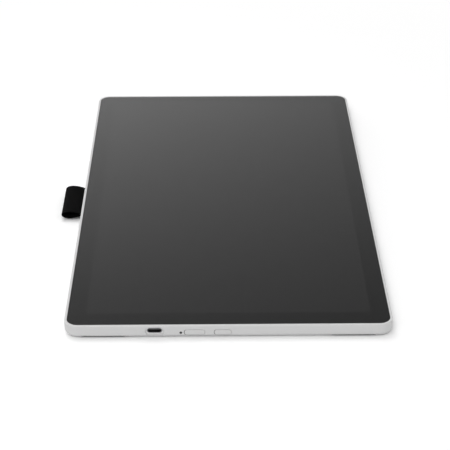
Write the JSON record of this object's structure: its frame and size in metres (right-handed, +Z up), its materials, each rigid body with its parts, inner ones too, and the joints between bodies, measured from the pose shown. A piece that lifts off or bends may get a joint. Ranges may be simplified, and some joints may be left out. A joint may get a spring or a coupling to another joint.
{
  "type": "graphics tablet with screen",
  "caption": "Slim pen display tablet: etched glass screen flush in a white moulded cover, side port, two side keys, fabric pen loop and rubber feet.",
  "frame": {"origin": "on the surface that the tablet stands on, under the middle of its whole box with the pen loop", "axes": "+X along the long side to the user's right, +Y away from the user towards the pen loop's side, +Z up out of the screen"},
  "size_m": [0.3374, 0.214, 0.0093],
  "materials": {
    "white_cover": "fine matte moulded texture",
    "black_frame": "matte moulded",
    "etched_glass": "etched anti-glare over a black printed border",
    "black_rubber": "matte moulded rubber",
    "black_elastic": "woven elastic",
    "zinc_plated_steel": "zinc plated",
    "brass": "turned",
    "circuit_board": "solder mask over glass fibre",
    "clear_layer": "clear",
    "grey_foam": "open cell foam",
    "display_glass": "dark display glass",
    "white_backlight": "white diffusing",
    "port_black": "moulded insulator",
    "aluminium_sheet": "rolled sheet",
    "amber_flex": "polyimide film",
    "chip_black": "moulded epoxy",
    "black_tape": "polyester tape",
    "light_pipe_clear": "clear moulded"
  },
  "bodies": {
    "tablet_body": {"back_cover": "white_cover", "mid_frame": "black_frame", "glass_tape": "black_tape", "cover_glass": "etched_glass", "optical_adhesive": "clear_layer", "colour_filter_glass": "display_glass", "array_glass": "display_glass", "display_tails": "amber_flex", "display_driver_board": "circuit_board", "driver_board_tape": "black_tape", "backlight_films": "white_backlight", "light_guide": "clear_layer", "backlight_strip": "white_backlight", "reflector_sheet": "white_backlight", "backlight_frame": "white_backlight", "backlight_tray": "zinc_plated_steel", "pen_sensor_board": "circuit_board", "sensor_shield": "aluminium_sheet", "stiffening_plate": "aluminium_sheet", "insulating_sheet": "black_tape", "main_board": "circuit_board", "board_chips": "chip_black", "processor": "chip_black", "shield_can": "zinc_plated_steel", "display_connectors": "chip_black", "display_cable": "amber_flex", "sensor_connector": "chip_black", "sensor_cable": "amber_flex", "usb_c_shell": "zinc_plated_steel", "usb_c_tongue": "port_black", "usb_c_contacts": "brass", "status_led": "clear_layer", "light_pipe": "light_pipe_clear", "power_switch": "chip_black", "menu_switch": "chip_black", "foam_pads": "grey_foam", "threaded_inserts": "brass", "pen_loop": "black_elastic", "loop_clamp": "black_frame", "foot_front_left": "black_rubber", "foot_front_right": "black_rubber", "foot_rear_left": "black_rubber", "foot_rear_right": "black_rubber", "cover_screws": "zinc_plated_steel", "board_screws": "zinc_plated_steel", "plate_screws": "zinc_plated_steel", "loop_clamp_screws": "zinc_plated_steel"},
    "power_key_body": {"power_key": "white_cover", "power_switch_plunger": "chip_black"},
    "menu_key_body": {"menu_key": "white_cover", "menu_switch_plunger": "chip_black"}
  },
  "joints": [
    {"name": "power_key_press", "type": "slide", "parent": "tablet_body", "child": "power_key_body", "axis": [1, 0, 0], "range_m": [0, 0.00035], "stiffness_N_per_m": 4000},
    {"name": "menu_key_press", "type": "slide", "parent": "tablet_body", "child": "menu_key_body", "axis": [1, 0, 0], "range_m": [0, 0.00035], "stiffness_N_per_m": 4000}
  ]
}
